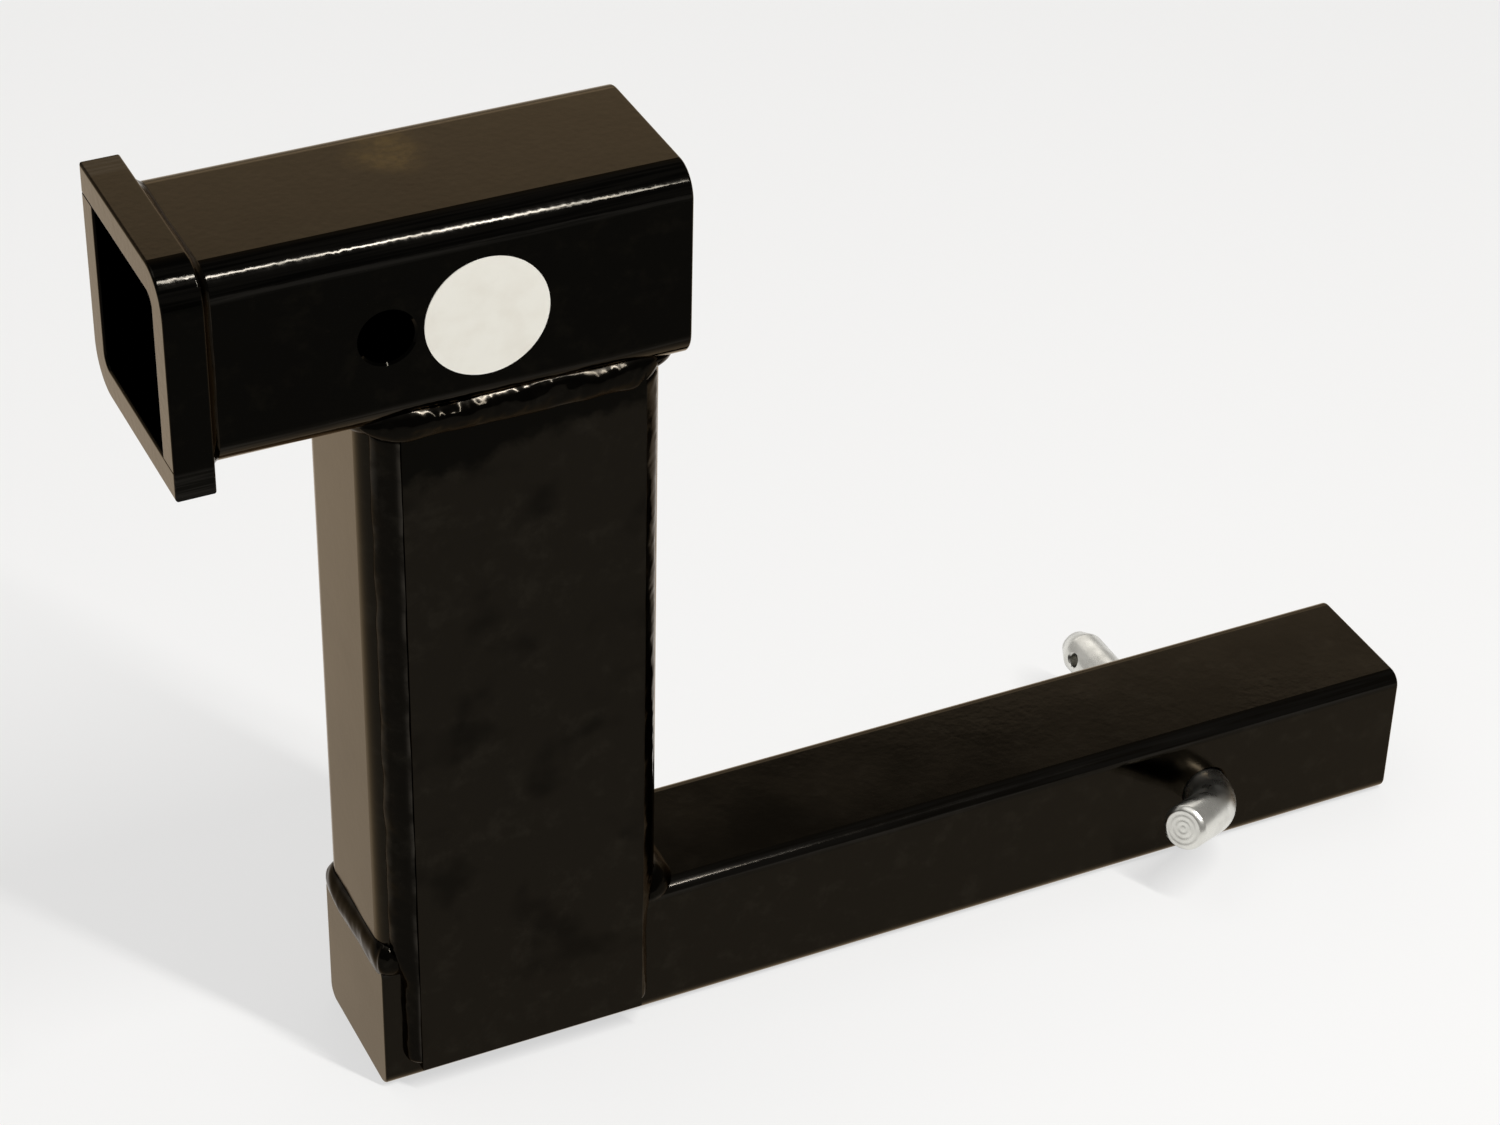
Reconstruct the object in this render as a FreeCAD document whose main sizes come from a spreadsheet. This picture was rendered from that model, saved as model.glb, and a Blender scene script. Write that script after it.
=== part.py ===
import FreeCAD, Part
import os
import Sketcher

# Raised receiver hitch: a square shank, a post of rectangular tube and a receiver with a mouth collar.
# The origin is the middle of the receiver's cross hole, on the receiver's axis.
# +X runs from the mouth towards the shank's free end, +Z is up and the near side is -Y. Millimetres.

SIZES = {
    # Receiver: a square socket with a cross hole and a collar round its mouth
    "socket_clearance": 0.8,
    "receiver_wall": 5.95,
    "receiver_corner": 9.5,
    "receiver_inner_corner": 3.6,
    "receiver_overhang": 4.95,
    "pin_setback": 65.0,
    "receiver_bore": 16.7,
    "collar_depth": 12.0,
    "collar_step": 3.6,
    "collar_bend": 13.0,
    "collar_inner_bend": 4.0,
    "collar_weld_leg": 3.0,
    "collar_weld_toe": 0.4,
    "collar_weld_margin": 0.4,
    "label_diameter": 38.0,
    "label_thickness": 0.3,
    "label_from_bore": 29.9,
    # Post: a rectangular tube as wide as the shank, with a flat bar lapped on each side
    "post_depth": 95.25,
    "post_wall": 6.35,
    "post_corner": 8.0,
    "post_inner_corner": 3.0,
    "post_height": 203.2,
    "post_from_mouth": 58.3,
    "post_setback": 0.8,
    "plate_width": 76.2,
    "plate_thickness": 6.35,
    "plate_lap": 41.4,
    # Shank: a solid square bar with a cross hole near its free end
    "shank_size": 50.8,
    "shank_corner": 5.0,
    "shank_length": 377.8,
    "shank_bore": 16.5,
    "bore_inset": 76.2,
    # Hitch pin: a bent round rod with a drilled, tapered tip and a chamfered handle end
    "pin_diameter": 15.875,
    "pin_gap": 1.0,
    "pin_reach": 40.6,
    "pin_bend": 15.5,
    "pin_angle": 61.0,
    "pin_lift": 18.0,
    "pin_handle": 19.0,
    "handle_chamfer": 1.5,
    "tip_taper": 6.0,
    "tip_diameter": 10.8,
    "clip_hole": 5.0,
    "clip_inset": 11.5,
    # Broken edges: the round on sawn ends, and the countersink of the cross holes
    "edge_round": 0.8,
    "hole_rim": 0.7,
    # Weld beads: radii of the rounded runs, and how far the large ones stand out
    "edge_bead": 6.7,
    "post_bead": 12.0,
    "post_bead_bulge": 1.6,
    "post_bead_lift": 0.8,
    "bead_wrap_front": 6.0,
    "bead_wrap_rear": 3.0,
    "corner_bead": 4.7,
    "foot_bead": 13.0,
    "foot_bead_bulge": 2.0,
    "foot_lump": 7.2,
    "foot_lump_inset": 4.6,
    "foot_lump_shift": 1.15,
    "foot_lump_lift": 1.0,
    "heel_bead": 7.5,
}

# Planes and lines that the pieces share, worked out from the sizes
LAYOUT = {
    "socket_half": "(Sizes.shank_size + Sizes.socket_clearance) / 2",
    "receiver_half": "Layout.socket_half + Sizes.receiver_wall",
    "collar_half": "Layout.receiver_half + Sizes.collar_step",
    "mouth_x": "-Sizes.pin_setback",
    "tube_front_x": "Layout.mouth_x + Sizes.collar_depth",
    "post_front_x": "Layout.mouth_x + Sizes.post_from_mouth",
    "post_rear_x": "Layout.post_front_x + Sizes.post_depth",
    "receiver_rear_x": "Layout.post_rear_x + Sizes.receiver_overhang",
    "post_middle_x": "Layout.post_front_x + Sizes.post_depth / 2",
    "post_half_depth": "Sizes.post_depth / 2",
    "core_half_depth": "Sizes.post_depth / 2 - Sizes.post_wall",
    "post_half": "Sizes.shank_size / 2",
    "core_half": "Sizes.shank_size / 2 - Sizes.post_wall",
    "plate_face": "Layout.post_half + Sizes.plate_thickness",
    "plate_front_x": "Layout.post_middle_x - Sizes.plate_width / 2",
    "plate_rear_x": "Layout.post_middle_x + Sizes.plate_width / 2",
    "post_top_z": "-Layout.receiver_half",
    "shank_top_z": "Layout.post_top_z - Sizes.post_height",
    "shank_middle_z": "Layout.shank_top_z - Layout.post_half",
    "plate_low_z": "Layout.shank_top_z - Sizes.plate_lap",
    "shank_front_x": "Layout.post_front_x - Sizes.post_setback",
    "shank_rear_x": "Layout.shank_front_x + Sizes.shank_length",
    "pin_x": "Layout.shank_rear_x - Sizes.bore_inset",
    "shank_flat": "Layout.post_half - Sizes.shank_corner",
    "bead_front_x": "Layout.post_front_x + Sizes.post_bead - Sizes.bead_wrap_front",
    "bead_rear_x": "Layout.post_rear_x - Sizes.post_bead + Sizes.bead_wrap_rear",
    "collar_weld_rise": "Sizes.collar_step - Sizes.collar_weld_margin",
    "collar_weld_half": "Layout.receiver_half + Layout.collar_weld_rise",
    "collar_weld_corner": "Sizes.receiver_corner + Layout.collar_weld_rise",
}

CUT_OVERRUN = 5.0

doc = FreeCAD.newDocument("receiver_hitch")
sheet = doc.addObject("Spreadsheet::Sheet", "Sizes")
for row, (alias, size) in enumerate(SIZES.items(), start=1):
    sheet.set(f"A{row}", str(size))
    sheet.setAlias(f"A{row}", alias)
doc.recompute()

layout = doc.addObject("App::VarSet", "Layout")
for name, formula in LAYOUT.items():
    layout.addProperty("App::PropertyFloat", name, "Layout")
    layout.setExpression(name, formula)
doc.recompute()

subparts = []


def bind(item, **formulas):
    """Bind an object's properties to formulas of the sizes."""
    for prop, formula in formulas.items():
        item.setExpression(prop, formula)
    return item


def place(item, x="0", y="0", z="0", turn=None):
    """Bind an object's Placement to three coordinates and, if given, a rotation formula."""
    rotation = turn or "rotationx(0)"
    item.setExpression("Placement", f"placement(vector({x}; {y}; {z}); {rotation})")
    return item


def subpart(item, label):
    """Give a finished piece its name and list it for writing."""
    item.Label = label
    subparts.append(item)
    return item


def cut(name, base, *tools):
    """Cut each tool from the base in turn."""
    result = base
    for number, tool in enumerate(tools, start=1):
        step = doc.addObject("Part::Cut", f"{name}_cut_{number}")
        step.Base = result
        step.Tool = tool
        step.Refine = True
        result = step
    return result


def fuse(name, *pieces):
    """Join pieces into one solid."""
    joined = doc.addObject("Part::MultiFuse", name)
    joined.Shapes = list(pieces)
    joined.Refine = True
    return joined


def cylinder(name, radius, length, x="0", y="0", z="0", turn=None):
    """A cylinder along its own +Z from the point given, after the turn."""
    item = doc.addObject("Part::Cylinder", name)
    bind(item, Radius=radius, Height=length)
    return place(item, x, y, z, turn)


def sphere(name, radius, x, y, z):
    item = doc.addObject("Part::Sphere", name)
    bind(item, Radius=radius)
    return place(item, x, y, z)


ALONG_X = "rotationy(90)"
ALONG_Y = "rotationx(-90)"


def sheet_value(term):
    """The present value of a signed term such as -Layout.post_half or Sizes.post_corner."""
    sign = -1.0 if term.startswith("-") else 1.0
    owner, name = term.lstrip("-").split(".")
    source = layout if owner == "Layout" else sheet
    return sign * float(getattr(source, name))


def hold_line(sketch, line, kind, term):
    """Keep a line of the sketch upright or level, at the distance from the origin that the term gives."""
    upright = kind == "x"
    sketch.addConstraint(Sketcher.Constraint("Vertical" if upright else "Horizontal", line))
    distance = "DistanceX" if upright else "DistanceY"
    size = sheet_value(term)
    if size < 0:
        held = Sketcher.Constraint(distance, line, 1, -1, 1, -size)
        formula = term.lstrip("-")
    else:
        held = Sketcher.Constraint(distance, -1, 1, line, 1, size)
        formula = term
    index = sketch.addConstraint(held)
    # A term that is negative by itself keeps its sign in the formula.
    if size < 0 and not term.startswith("-"):
        formula = f"-{term}"
    sketch.setExpression(f"Constraints[{index}]", formula)


def draw_outline(sketch, lines, radii):
    """Draw a closed outline of upright and level lines. lines holds (kind, term) in order, turning
    anticlockwise, and radii gives the term of each rounded corner after a line, or None for a sharp one."""
    count = len(lines)
    values = [sheet_value(term) for kind, term in lines]
    corners = []
    for i in range(count):
        j = (i + 1) % count
        x = values[i] if lines[i][0] == "x" else values[j]
        y = values[j] if lines[i][0] == "x" else values[i]
        corners.append(FreeCAD.Vector(x, y, 0))
    rounds = [sheet_value(term) if term else 0.0 for term in radii]
    first = sketch.GeometryCount
    for i in range(count):
        start, end = corners[i - 1], corners[i]
        along = (end - start).normalize()
        sketch.addGeometry(Part.LineSegment(start + along * rounds[i - 1], end - along * rounds[i]), False)
    for i, (kind, term) in enumerate(lines):
        hold_line(sketch, first + i, kind, term)
    for i in range(count):
        here, after = first + i, first + (i + 1) % count
        if not radii[i]:
            sketch.addConstraint(Sketcher.Constraint("Coincident", here, 2, after, 1))
            continue
        along = (corners[i] - corners[i - 1]).normalize()
        onward = (corners[(i + 1) % count] - corners[i]).normalize()
        centre = corners[i] + (onward - along) * rounds[i]
        middle = centre + (along - onward).normalize() * rounds[i]
        arc = sketch.addGeometry(
            Part.Arc(corners[i] - along * rounds[i], middle, corners[i] + onward * rounds[i]), False)
        turns_left = along.cross(onward).z > 0
        begin, finish = (1, 2) if turns_left else (2, 1)
        sketch.addConstraint(Sketcher.Constraint("Tangent", here, 2, arc, begin))
        sketch.addConstraint(Sketcher.Constraint("Tangent", arc, finish, after, 1))
        index = sketch.addConstraint(Sketcher.Constraint("Radius", arc, rounds[i]))
        sketch.setExpression(f"Constraints[{index}]", radii[i])


def extruded(name, plane, lines, radii, length, taper=None):
    """A body padded from an outline on one of its own origin planes."""
    body = doc.addObject("PartDesign::Body", name)
    sketch = body.newObject("Sketcher::SketchObject", f"{name}_outline")
    support = next(item for item in body.Origin.OriginFeatures if item.Role == plane)
    sketch.AttachmentSupport = [(support, "")]
    sketch.MapMode = "FlatFace"
    draw_outline(sketch, lines, radii)
    pad = body.newObject("PartDesign::Pad", f"{name}_pad")
    pad.Profile = sketch
    bind(pad, Length=length)
    if taper:
        bind(pad, TaperAngle=taper)
    return body


def rounded_bar(name, plane, half_width, half_height, corner, length, taper=None):
    """A bar with a rounded rectangular section about its own axis."""
    lines = [("y", f"-{half_height}"), ("x", half_width), ("y", half_height), ("x", f"-{half_width}")]
    return extruded(name, plane, lines, [corner] * 4, length, taper)


def round_edges(body, chosen):
    """Round the edges of a body that the test picks. The test gets an edge of the body before it is placed."""
    doc.recompute()
    before = body.Tip
    names = [f"Edge{i}" for i, edge in enumerate(before.Shape.Edges, start=1) if chosen(edge)]
    step = body.newObject("PartDesign::Fillet", f"{body.Name}_round")
    step.Base = (before, names)
    bind(step, Radius="Sizes.edge_round")
    return body


def at_end(edge):
    """True for an edge of one of the two end faces of a bar drawn along X."""
    return edge.BoundBox.XLength < 0.001


def at_far_end(edge):
    return at_end(edge) and edge.BoundBox.XMin > 1


def hole_rims(name, half, x, z, bore):
    """Two cones that break the edges of a cross hole through a bar of the half width given."""
    rims = []
    for side, turn in (("near", "rotationx(-90)"), ("far", "rotationx(90)")):
        sign = "-" if side == "near" else ""
        rim = doc.addObject("Part::Cone", f"{name}_{side}")
        bind(rim, Radius1=f"{bore} / 2 + Sizes.hole_rim", Radius2=f"{bore} / 2 - Sizes.hole_rim",
             Height="2 * Sizes.hole_rim")
        rims.append(place(rim, x, f"{sign}{half}", z, turn))
    return rims


# Bars and tubes
receiver_blank = rounded_bar("receiver_blank", "YZ_Plane", "Layout.receiver_half", "Layout.receiver_half",
                             "Sizes.receiver_corner", "Layout.receiver_rear_x - Layout.tube_front_x")
place(round_edges(receiver_blank, at_far_end), x="Layout.tube_front_x")
socket_core = place(
    rounded_bar("socket_core", "YZ_Plane", "Layout.socket_half", "Layout.socket_half",
                "Sizes.receiver_inner_corner", f"Layout.receiver_rear_x - Layout.mouth_x + {2 * CUT_OVERRUN}"),
    x=f"Layout.mouth_x - {CUT_OVERRUN}")
receiver_bore = cylinder(
    "receiver_bore", "Sizes.receiver_bore / 2", f"2 * Layout.receiver_half + {2 * CUT_OVERRUN}",
    y=f"-Layout.receiver_half - {CUT_OVERRUN}", turn=ALONG_Y)
receiver_rims = hole_rims("receiver_rim", "Layout.receiver_half", "0", "0", "Sizes.receiver_bore")
subpart(cut("receiver", receiver_blank, socket_core, receiver_bore, *receiver_rims), "receiver_tube")

label = cylinder("label", "Sizes.label_diameter / 2", "Sizes.label_thickness", "Sizes.label_from_bore",
                 "-Layout.receiver_half - Sizes.label_thickness", "0", ALONG_Y)
subpart(label, "round_label")

post_blank = place(
    rounded_bar("post_blank", "XY_Plane", "Layout.post_half_depth", "Layout.post_half",
                "Sizes.post_corner", "Sizes.post_height"),
    x="Layout.post_middle_x", z="Layout.shank_top_z")
post_core = place(
    rounded_bar("post_core", "XY_Plane", "Layout.core_half_depth", "Layout.core_half",
                "Sizes.post_inner_corner", f"Sizes.post_height + {2 * CUT_OVERRUN}"),
    x="Layout.post_middle_x", z=f"Layout.shank_top_z - {CUT_OVERRUN}")
subpart(cut("post", post_blank, post_core), "post_tube")

shank_blank = rounded_bar("shank_blank", "YZ_Plane", "Layout.post_half", "Layout.post_half",
                          "Sizes.shank_corner", "Sizes.shank_length")
place(round_edges(shank_blank, at_end), x="Layout.shank_front_x", z="Layout.shank_middle_z")
shank_bore = cylinder(
    "shank_bore", "Sizes.shank_bore / 2", f"Sizes.shank_size + {2 * CUT_OVERRUN}",
    x="Layout.pin_x", y=f"-Layout.post_half - {CUT_OVERRUN}", z="Layout.shank_middle_z", turn=ALONG_Y)
shank_rims = hole_rims("shank_rim", "Layout.post_half", "Layout.pin_x", "Layout.shank_middle_z",
                       "Sizes.shank_bore")
subpart(cut("shank", shank_blank, shank_bore, *shank_rims), "shank_bar")


# Collar: two equal bars bent to an L, turned half a turn to each other, and the fillet behind them
COLLAR_OUTLINE = [
    ("x", "-Layout.collar_half"), ("y", "-Layout.socket_half"), ("x", "-Layout.socket_half"),
    ("y", "Layout.socket_half"), ("x", "Layout.collar_half"), ("y", "Layout.collar_half"),
]
COLLAR_CORNERS = [None, None, "Sizes.collar_inner_bend", None, None, "Sizes.collar_bend"]


def on_collar_rim(edge):
    """True for the inner and outer edges of the collar's front and for the outer edges of its back, and not
    for the edges where one bar butts against the other."""
    if not at_end(edge):
        return False
    reaches = [max(abs(corner.Point.y), abs(corner.Point.z)) for corner in edge.Vertexes]
    outer = min(reaches) > sheet_value("Layout.receiver_half")
    inner = max(reaches) < sheet_value("Layout.receiver_half")
    return outer or (inner and not at_far_end(edge))


for label, half_turn in (("collar_upper_bar", "0"), ("collar_lower_bar", "180")):
    bar = extruded(f"{label}_body", "YZ_Plane", COLLAR_OUTLINE, COLLAR_CORNERS, "Sizes.collar_depth")
    round_edges(bar, on_collar_rim)
    subpart(place(bar, x="Layout.mouth_x", turn=f"rotationx({half_turn})"), label)

collar_fillet = place(
    rounded_bar("collar_fillet", "YZ_Plane", "Layout.collar_weld_half", "Layout.collar_weld_half",
                "Layout.collar_weld_corner", "Sizes.collar_weld_leg",
                "-atan((Layout.collar_weld_rise - Sizes.collar_weld_toe) / Sizes.collar_weld_leg)"),
    x="Layout.tube_front_x")
subpart(cut("collar_weld", collar_fillet, receiver_blank), "collar_weld")

# Side plates, and the beads that hold them, on both sides
plates = {}
for side, sign in (("near", -1), ("far", 1)):
    plate = doc.addObject("Part::Box", f"plate_{side}")
    bind(plate, Length="Sizes.plate_width", Width="Sizes.plate_thickness",
         Height="Sizes.post_height + Sizes.plate_lap")
    low_y = "Layout.post_half" if sign > 0 else "-Layout.plate_face"
    place(plate, "Layout.plate_front_x", low_y, "Layout.plate_low_z")
    plates[side] = subpart(plate, f"side_plate_{side}")

post_beads = {}
for side, sign in (("near", -1), ("far", 1)):
    bead_y = f"{sign} * (Layout.plate_face + Sizes.post_bead_bulge - Sizes.post_bead)"
    bead_z = "Layout.post_top_z + Sizes.post_bead_lift"
    run = cylinder(f"post_run_{side}", "Sizes.post_bead", "Layout.bead_rear_x - Layout.bead_front_x",
                   "Layout.bead_front_x", bead_y, bead_z, ALONG_X)
    ends = [
        sphere(f"post_run_{side}_{end}", "Sizes.post_bead", f"Layout.bead_{end}_x", bead_y, bead_z)
        for end in ("front", "rear")
    ]
    bead = fuse(f"post_run_{side}_whole", run, *ends)
    bead = cut(f"post_bead_{side}", bead, receiver_blank, post_blank, plates[side])
    post_beads[side] = subpart(bead, f"post_weld_{side}")

for end in ("front", "rear"):
    run = cylinder(f"post_run_{end}", "Sizes.corner_bead", "2 * Layout.shank_flat",
                   f"Layout.post_{end}_x", "-Layout.shank_flat", "Layout.post_top_z", ALONG_Y)
    bead = cut(f"post_bead_{end}", run, receiver_blank, post_blank, post_beads["near"], post_beads["far"])
    subpart(bead, f"post_weld_{end}")

# The lap beads stop at the plane of the shank's side, above and below its rounded edges too
shank_square = doc.addObject("Part::Box", "shank_square")
bind(shank_square, Length="Sizes.shank_length", Width="Sizes.shank_size", Height="Sizes.shank_size")
place(shank_square, "Layout.shank_front_x", "-Layout.post_half", "Layout.shank_top_z - Sizes.shank_size")

edge_beads = []
for side, sign in (("near", -1), ("far", 1)):
    root_y = f"{sign} * Layout.post_half"
    for end in ("front", "rear"):
        root_x = f"Layout.plate_{end}_x"
        name = f"{side}_{end}"
        run = cylinder(f"plate_run_{name}", "Sizes.edge_bead", "Sizes.post_height", root_x, root_y,
                       "Layout.shank_top_z")
        bead = cut(f"plate_bead_{name}", run, post_blank, plates[side], post_beads[side])
        edge_beads.append(subpart(bead, f"plate_weld_{name}"))
        run = cylinder(f"lap_run_{name}", "Sizes.edge_bead", "Sizes.plate_lap", root_x, root_y,
                       "Layout.plate_low_z")
        bead = cut(f"lap_bead_{name}", run, shank_square, plates[side])
        edge_beads.append(subpart(bead, f"lap_weld_{name}"))

# Beads at the post's foot: a low wide one over the flush front seam, a fillet behind the post
foot_x = "Layout.post_front_x - Sizes.foot_bead_bulge + Sizes.foot_bead"
foot_run = cylinder("foot_run", "Sizes.foot_bead", "2 * Layout.shank_flat", foot_x, "-Layout.shank_flat",
                    "Layout.shank_top_z", ALONG_Y)
lump_x = "Layout.post_front_x + Sizes.foot_lump_inset"
lumps = [
    sphere(f"foot_lump_{side}", "Sizes.foot_lump", lump_x,
           f"{sign} * (Layout.shank_flat - Sizes.foot_lump_shift)",
           "Layout.shank_top_z + Sizes.foot_lump_lift")
    for side, sign in (("near", -1), ("far", 1))
]
foot_bead = fuse("foot_bead_whole", foot_run, *lumps)
subpart(cut("foot_bead", foot_bead, post_blank, shank_blank, *plates.values(), *edge_beads), "foot_weld_front")

heel_run = cylinder("heel_run", "Sizes.heel_bead", "2 * Layout.shank_flat", "Layout.post_rear_x",
                    "-Layout.shank_flat", "Layout.shank_top_z", ALONG_Y)
subpart(cut("heel_bead", heel_run, post_blank, shank_blank, *edge_beads), "foot_weld_rear")


# Hitch pin, drawn about its bend: the shaft comes up along +Y and the handle turns towards -X
pin_radius = "Sizes.pin_diameter / 2"
shaft_length = "Sizes.pin_gap + Sizes.shank_size + Sizes.pin_reach"
shaft = cylinder("pin_shaft", pin_radius, f"{shaft_length} - Sizes.tip_taper",
                 "Sizes.pin_bend", f"Sizes.tip_taper - ({shaft_length})", "0", ALONG_Y)
tip = doc.addObject("Part::Cone", "pin_tip")
bind(tip, Radius1="Sizes.tip_diameter / 2", Radius2=pin_radius, Height="Sizes.tip_taper")
place(tip, "Sizes.pin_bend", f"-({shaft_length})", "0", ALONG_Y)
bend = doc.addObject("Part::Torus", "pin_bend")
bind(bend, Radius1="Sizes.pin_bend", Radius2=pin_radius, Angle3="Sizes.pin_angle")
end_x = "Sizes.pin_bend * cos(Sizes.pin_angle * 1 deg)"
end_y = "Sizes.pin_bend * sin(Sizes.pin_angle * 1 deg)"
straight = "(Sizes.pin_handle - Sizes.handle_chamfer)"
along_handle = f"rotationz(Sizes.pin_angle) * {ALONG_Y}"
handle = cylinder("pin_handle", pin_radius, straight, end_x, end_y, "0", along_handle)
nose = doc.addObject("Part::Cone", "pin_nose")
bind(nose, Radius1=pin_radius, Radius2=f"{pin_radius} - Sizes.handle_chamfer", Height="Sizes.handle_chamfer")
place(nose, f"{end_x} - {straight} * sin(Sizes.pin_angle * 1 deg)",
      f"{end_y} + {straight} * cos(Sizes.pin_angle * 1 deg)", "0", along_handle)
rod = fuse("pin_rod", shaft, tip, bend, handle, nose)
clip_bore = cylinder("clip_bore", "Sizes.clip_hole / 2", f"Sizes.pin_diameter + {2 * CUT_OVERRUN}",
                     f"Sizes.pin_bend - {pin_radius} - {CUT_OVERRUN}",
                     f"Sizes.clip_inset - ({shaft_length})", "0", ALONG_X)
clip_rims = []
for end, sign, turn in (("front", -1, ALONG_X), ("rear", 1, "rotationy(-90)")):
    rim = doc.addObject("Part::Cone", f"clip_rim_{end}")
    bind(rim, Radius1="Sizes.clip_hole / 2 + Sizes.hole_rim", Radius2="Sizes.clip_hole / 2 - Sizes.hole_rim",
         Height="2 * Sizes.hole_rim")
    clip_rims.append(place(rim, f"Sizes.pin_bend + {sign} * {pin_radius}", f"Sizes.clip_inset - ({shaft_length})",
                           "0", turn))
pin = cut("pin", rod, clip_bore, *clip_rims)
place(pin, "Layout.pin_x - Sizes.pin_bend * cos(Sizes.pin_lift * 1 deg)",
      "-Layout.post_half - Sizes.pin_gap",
      "Layout.shank_middle_z + Sizes.pin_bend * sin(Sizes.pin_lift * 1 deg)",
      "rotationy(Sizes.pin_lift) * rotationx(180)")
subpart(pin, "hitch_pin")

doc.recompute()

# Every object must have come out sound before anything is written
for item in doc.Objects:
    if "Invalid" in item.State or "Error" in item.State:
        raise RuntimeError(f"{item.Label} failed: {item.State}")
for item in subparts:
    if item.Shape.isNull() or not item.Shape.isValid() or not item.Shape.Solids:
        raise RuntimeError(f"{item.Label} has no valid solid")

os.makedirs("parts", exist_ok=True)
for item in subparts:
    item.Shape.exportStep(f"parts/{item.Label}.step")
    print(f"{item.Label}: {len(item.Shape.Solids)} solid, {item.Shape.Volume / 1000:.2f} cm3")
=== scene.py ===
import math

import bmesh
import bpy
from mathutils import Matrix, Vector, noise


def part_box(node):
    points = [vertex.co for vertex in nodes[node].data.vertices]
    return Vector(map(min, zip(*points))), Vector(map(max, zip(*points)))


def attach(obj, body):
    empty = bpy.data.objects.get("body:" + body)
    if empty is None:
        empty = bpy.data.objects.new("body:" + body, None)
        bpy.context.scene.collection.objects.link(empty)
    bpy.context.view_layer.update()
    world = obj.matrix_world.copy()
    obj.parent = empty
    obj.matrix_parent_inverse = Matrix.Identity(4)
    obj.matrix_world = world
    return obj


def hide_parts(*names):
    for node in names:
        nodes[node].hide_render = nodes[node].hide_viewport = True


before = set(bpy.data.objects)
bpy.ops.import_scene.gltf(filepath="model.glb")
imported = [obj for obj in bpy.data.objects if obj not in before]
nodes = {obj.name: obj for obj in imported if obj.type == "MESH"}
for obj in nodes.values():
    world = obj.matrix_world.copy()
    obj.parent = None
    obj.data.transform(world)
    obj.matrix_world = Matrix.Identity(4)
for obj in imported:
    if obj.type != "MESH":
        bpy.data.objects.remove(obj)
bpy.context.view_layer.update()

# Everything is in metres. MM turns the sizes below, which are easier to read in millimetres, into metres.
MM = 0.001
BODY = "hitch"

# Camera: its place, angles and lens, fitted to the photograph
CAMERA_PLACE = Vector((-316.7, -903.3, 583.25)) * MM
CAMERA_AZIMUTH = math.radians(-26.30)
CAMERA_ELEVATION = math.radians(35.46)
CAMERA_ROLL = math.radians(1.53)
CAMERA_LENS = 94.13
SENSOR_WIDTH = 36.0

# Width over which the painted highlight on a long corner comes in
CORNER_FADE = 2.0 * MM

# Mesh layer that is 1 at a bead's toes and 0 on its crown
TOE_LAYER = "toe"

# Colours, as linear values
COAT_BLACK = (0.0100, 0.0084, 0.0062, 1)
COAT_DUST = (0.0135, 0.0115, 0.0085, 1)
# A darker copy of the coat: painted shade on the receiver and the collar, and the plates' painted dark
# reflection under the welds
DEEP_BLACK = (0.0029, 0.0027, 0.0022, 1)
DEEP_DUST = (0.0044, 0.0039, 0.0030, 1)
# Painted highlights: a brighter reflectance on the long corners of the receiver, the collar and the shank
PAINTED_CORNER_SHEEN = (0.0130, 0.0119, 0.0103, 1)
PAINTED_SHANK_SHEEN = (0.0180, 0.0163, 0.0140, 1)
SMUDGE_TAN = (0.0300, 0.0200, 0.0070, 1)
# Painted tints of the reflections at grazing angles: warm on the coat, and dimmer on the weld beads as
# painted shade
WARM_REFLECTION_TINT = (0.97, 0.84, 0.70, 1)
DIM_WELD_REFLECTION_TINT = (0.62, 0.58, 0.54, 1)
# A darker copy of the coat on the weld beads, as painted shade
WELD_BLACK = (0.0052, 0.0045, 0.0035, 1)
WELD_DUST = (0.0085, 0.0074, 0.0057, 1)
TOE_GREY = (0.0360, 0.0320, 0.0265, 1)
ZINC_BRIGHT = (0.76, 0.75, 0.70, 1)
ZINC_DULL = (0.64, 0.63, 0.585, 1)
LABEL_CREAM = (0.84, 0.82, 0.745, 1)
LABEL_SHADE = (0.79, 0.76, 0.68, 1)
FLOOR_PALE = (0.84, 0.83, 0.81, 1)
WALL_PALE = (0.80, 0.785, 0.765, 1)
WORLD_PALE = (0.90, 0.885, 0.86, 1)

# Coats: depth of the orange peel, depth of the slow waves, and the range of roughness
COAT_PEEL = 0.012 * MM
DEEP_PEEL = 0.03 * MM
WELD_PEEL = 0.02 * MM
COAT_WAVE = 0.04 * MM
WELD_WAVE = 0.08 * MM
COAT_MATT = (0.08, 0.17)
DEEP_MATT = (0.05, 0.11)

# Floor and wall: how dark their darker patches are, their roughness and their mirrored share
PALE_SHADE = 0.97
PALE_ROUGHNESS = 0.85
PALE_SPECULAR = 0.15


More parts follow.
